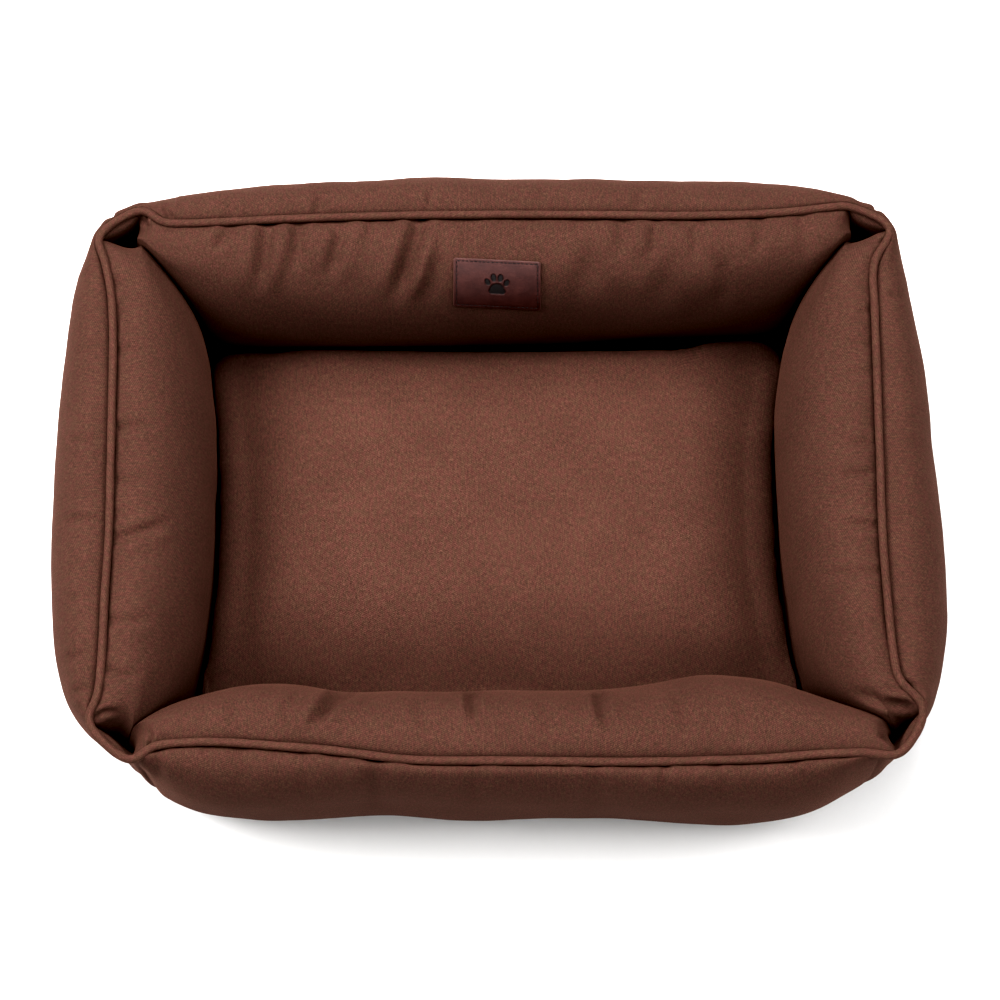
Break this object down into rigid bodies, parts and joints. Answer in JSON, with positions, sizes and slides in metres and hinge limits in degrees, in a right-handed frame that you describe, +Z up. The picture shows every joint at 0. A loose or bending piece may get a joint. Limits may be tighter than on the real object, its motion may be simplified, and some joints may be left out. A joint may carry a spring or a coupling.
{
  "type": "pet cushion bed",
  "caption": "Rectangular bolster bed for a small pet: stuffed fabric walls with piped rim, a lift-out cushion with a zipped cover and a stitched leather tag.",
  "frame": {"origin": "centre of the footprint at floor level, under the base cloth", "axes": "+Z up, +X along the bed's longer side towards its right as seen from the front, +Y towards the rear wall that carries the tag"},
  "size_m": [0.648, 0.504, 0.1616],
  "materials": {
    "bed_cloth": "matte",
    "base_cloth": "matte",
    "lining_cloth": "matte",
    "fibre_filling": "matte",
    "foam_filling": "matte",
    "cord": "matte",
    "zip_tape": "matte",
    "zip_metal": "satin",
    "tag_leather": "satin",
    "tag_thread": "matte"
  },
  "bodies": {
    "bed": {"wall_filling_back": "fibre_filling", "outer_panel_back": "bed_cloth", "inner_panel_back": "bed_cloth", "wall_filling_left": "fibre_filling", "outer_panel_left": "bed_cloth", "inner_panel_left": "bed_cloth", "wall_filling_front": "fibre_filling", "outer_panel_front": "bed_cloth", "inner_panel_front": "bed_cloth", "wall_filling_right": "fibre_filling", "outer_panel_right": "bed_cloth", "inner_panel_right": "bed_cloth", "base_underside": "base_cloth", "base_lining": "lining_cloth", "piping_sleeve": "bed_cloth", "piping_cord": "cord", "leather_tag": "tag_leather", "tag_stitches": "tag_thread"},
    "cushion": {"cushion_filling": "foam_filling", "cushion_cover_top": "bed_cloth", "cushion_cover_bottom": "bed_cloth", "zip_tape_upper": "zip_tape", "zip_tape_lower": "zip_tape", "zip_stops": "zip_metal"},
    "slider": {"zip_slider": "zip_metal"},
    "pull": {"zip_pull": "zip_metal"}
  },
  "joints": [
    {"name": "cushion_lift", "type": "slide", "parent": "bed", "child": "cushion", "axis": [0, 0, 1], "range_m": [0, 0.25]},
    {"name": "zip_run", "type": "slide", "parent": "cushion", "child": "slider", "axis": [-1, 0, 0], "range_m": [0, 0.278]},
    {"name": "pull_swing", "type": "hinge", "parent": "slider", "child": "pull", "pos_m": [0.139, 0.1342, 0.0317], "axis": [0, 0, 1], "range_deg": [0, 15]}
  ]
}
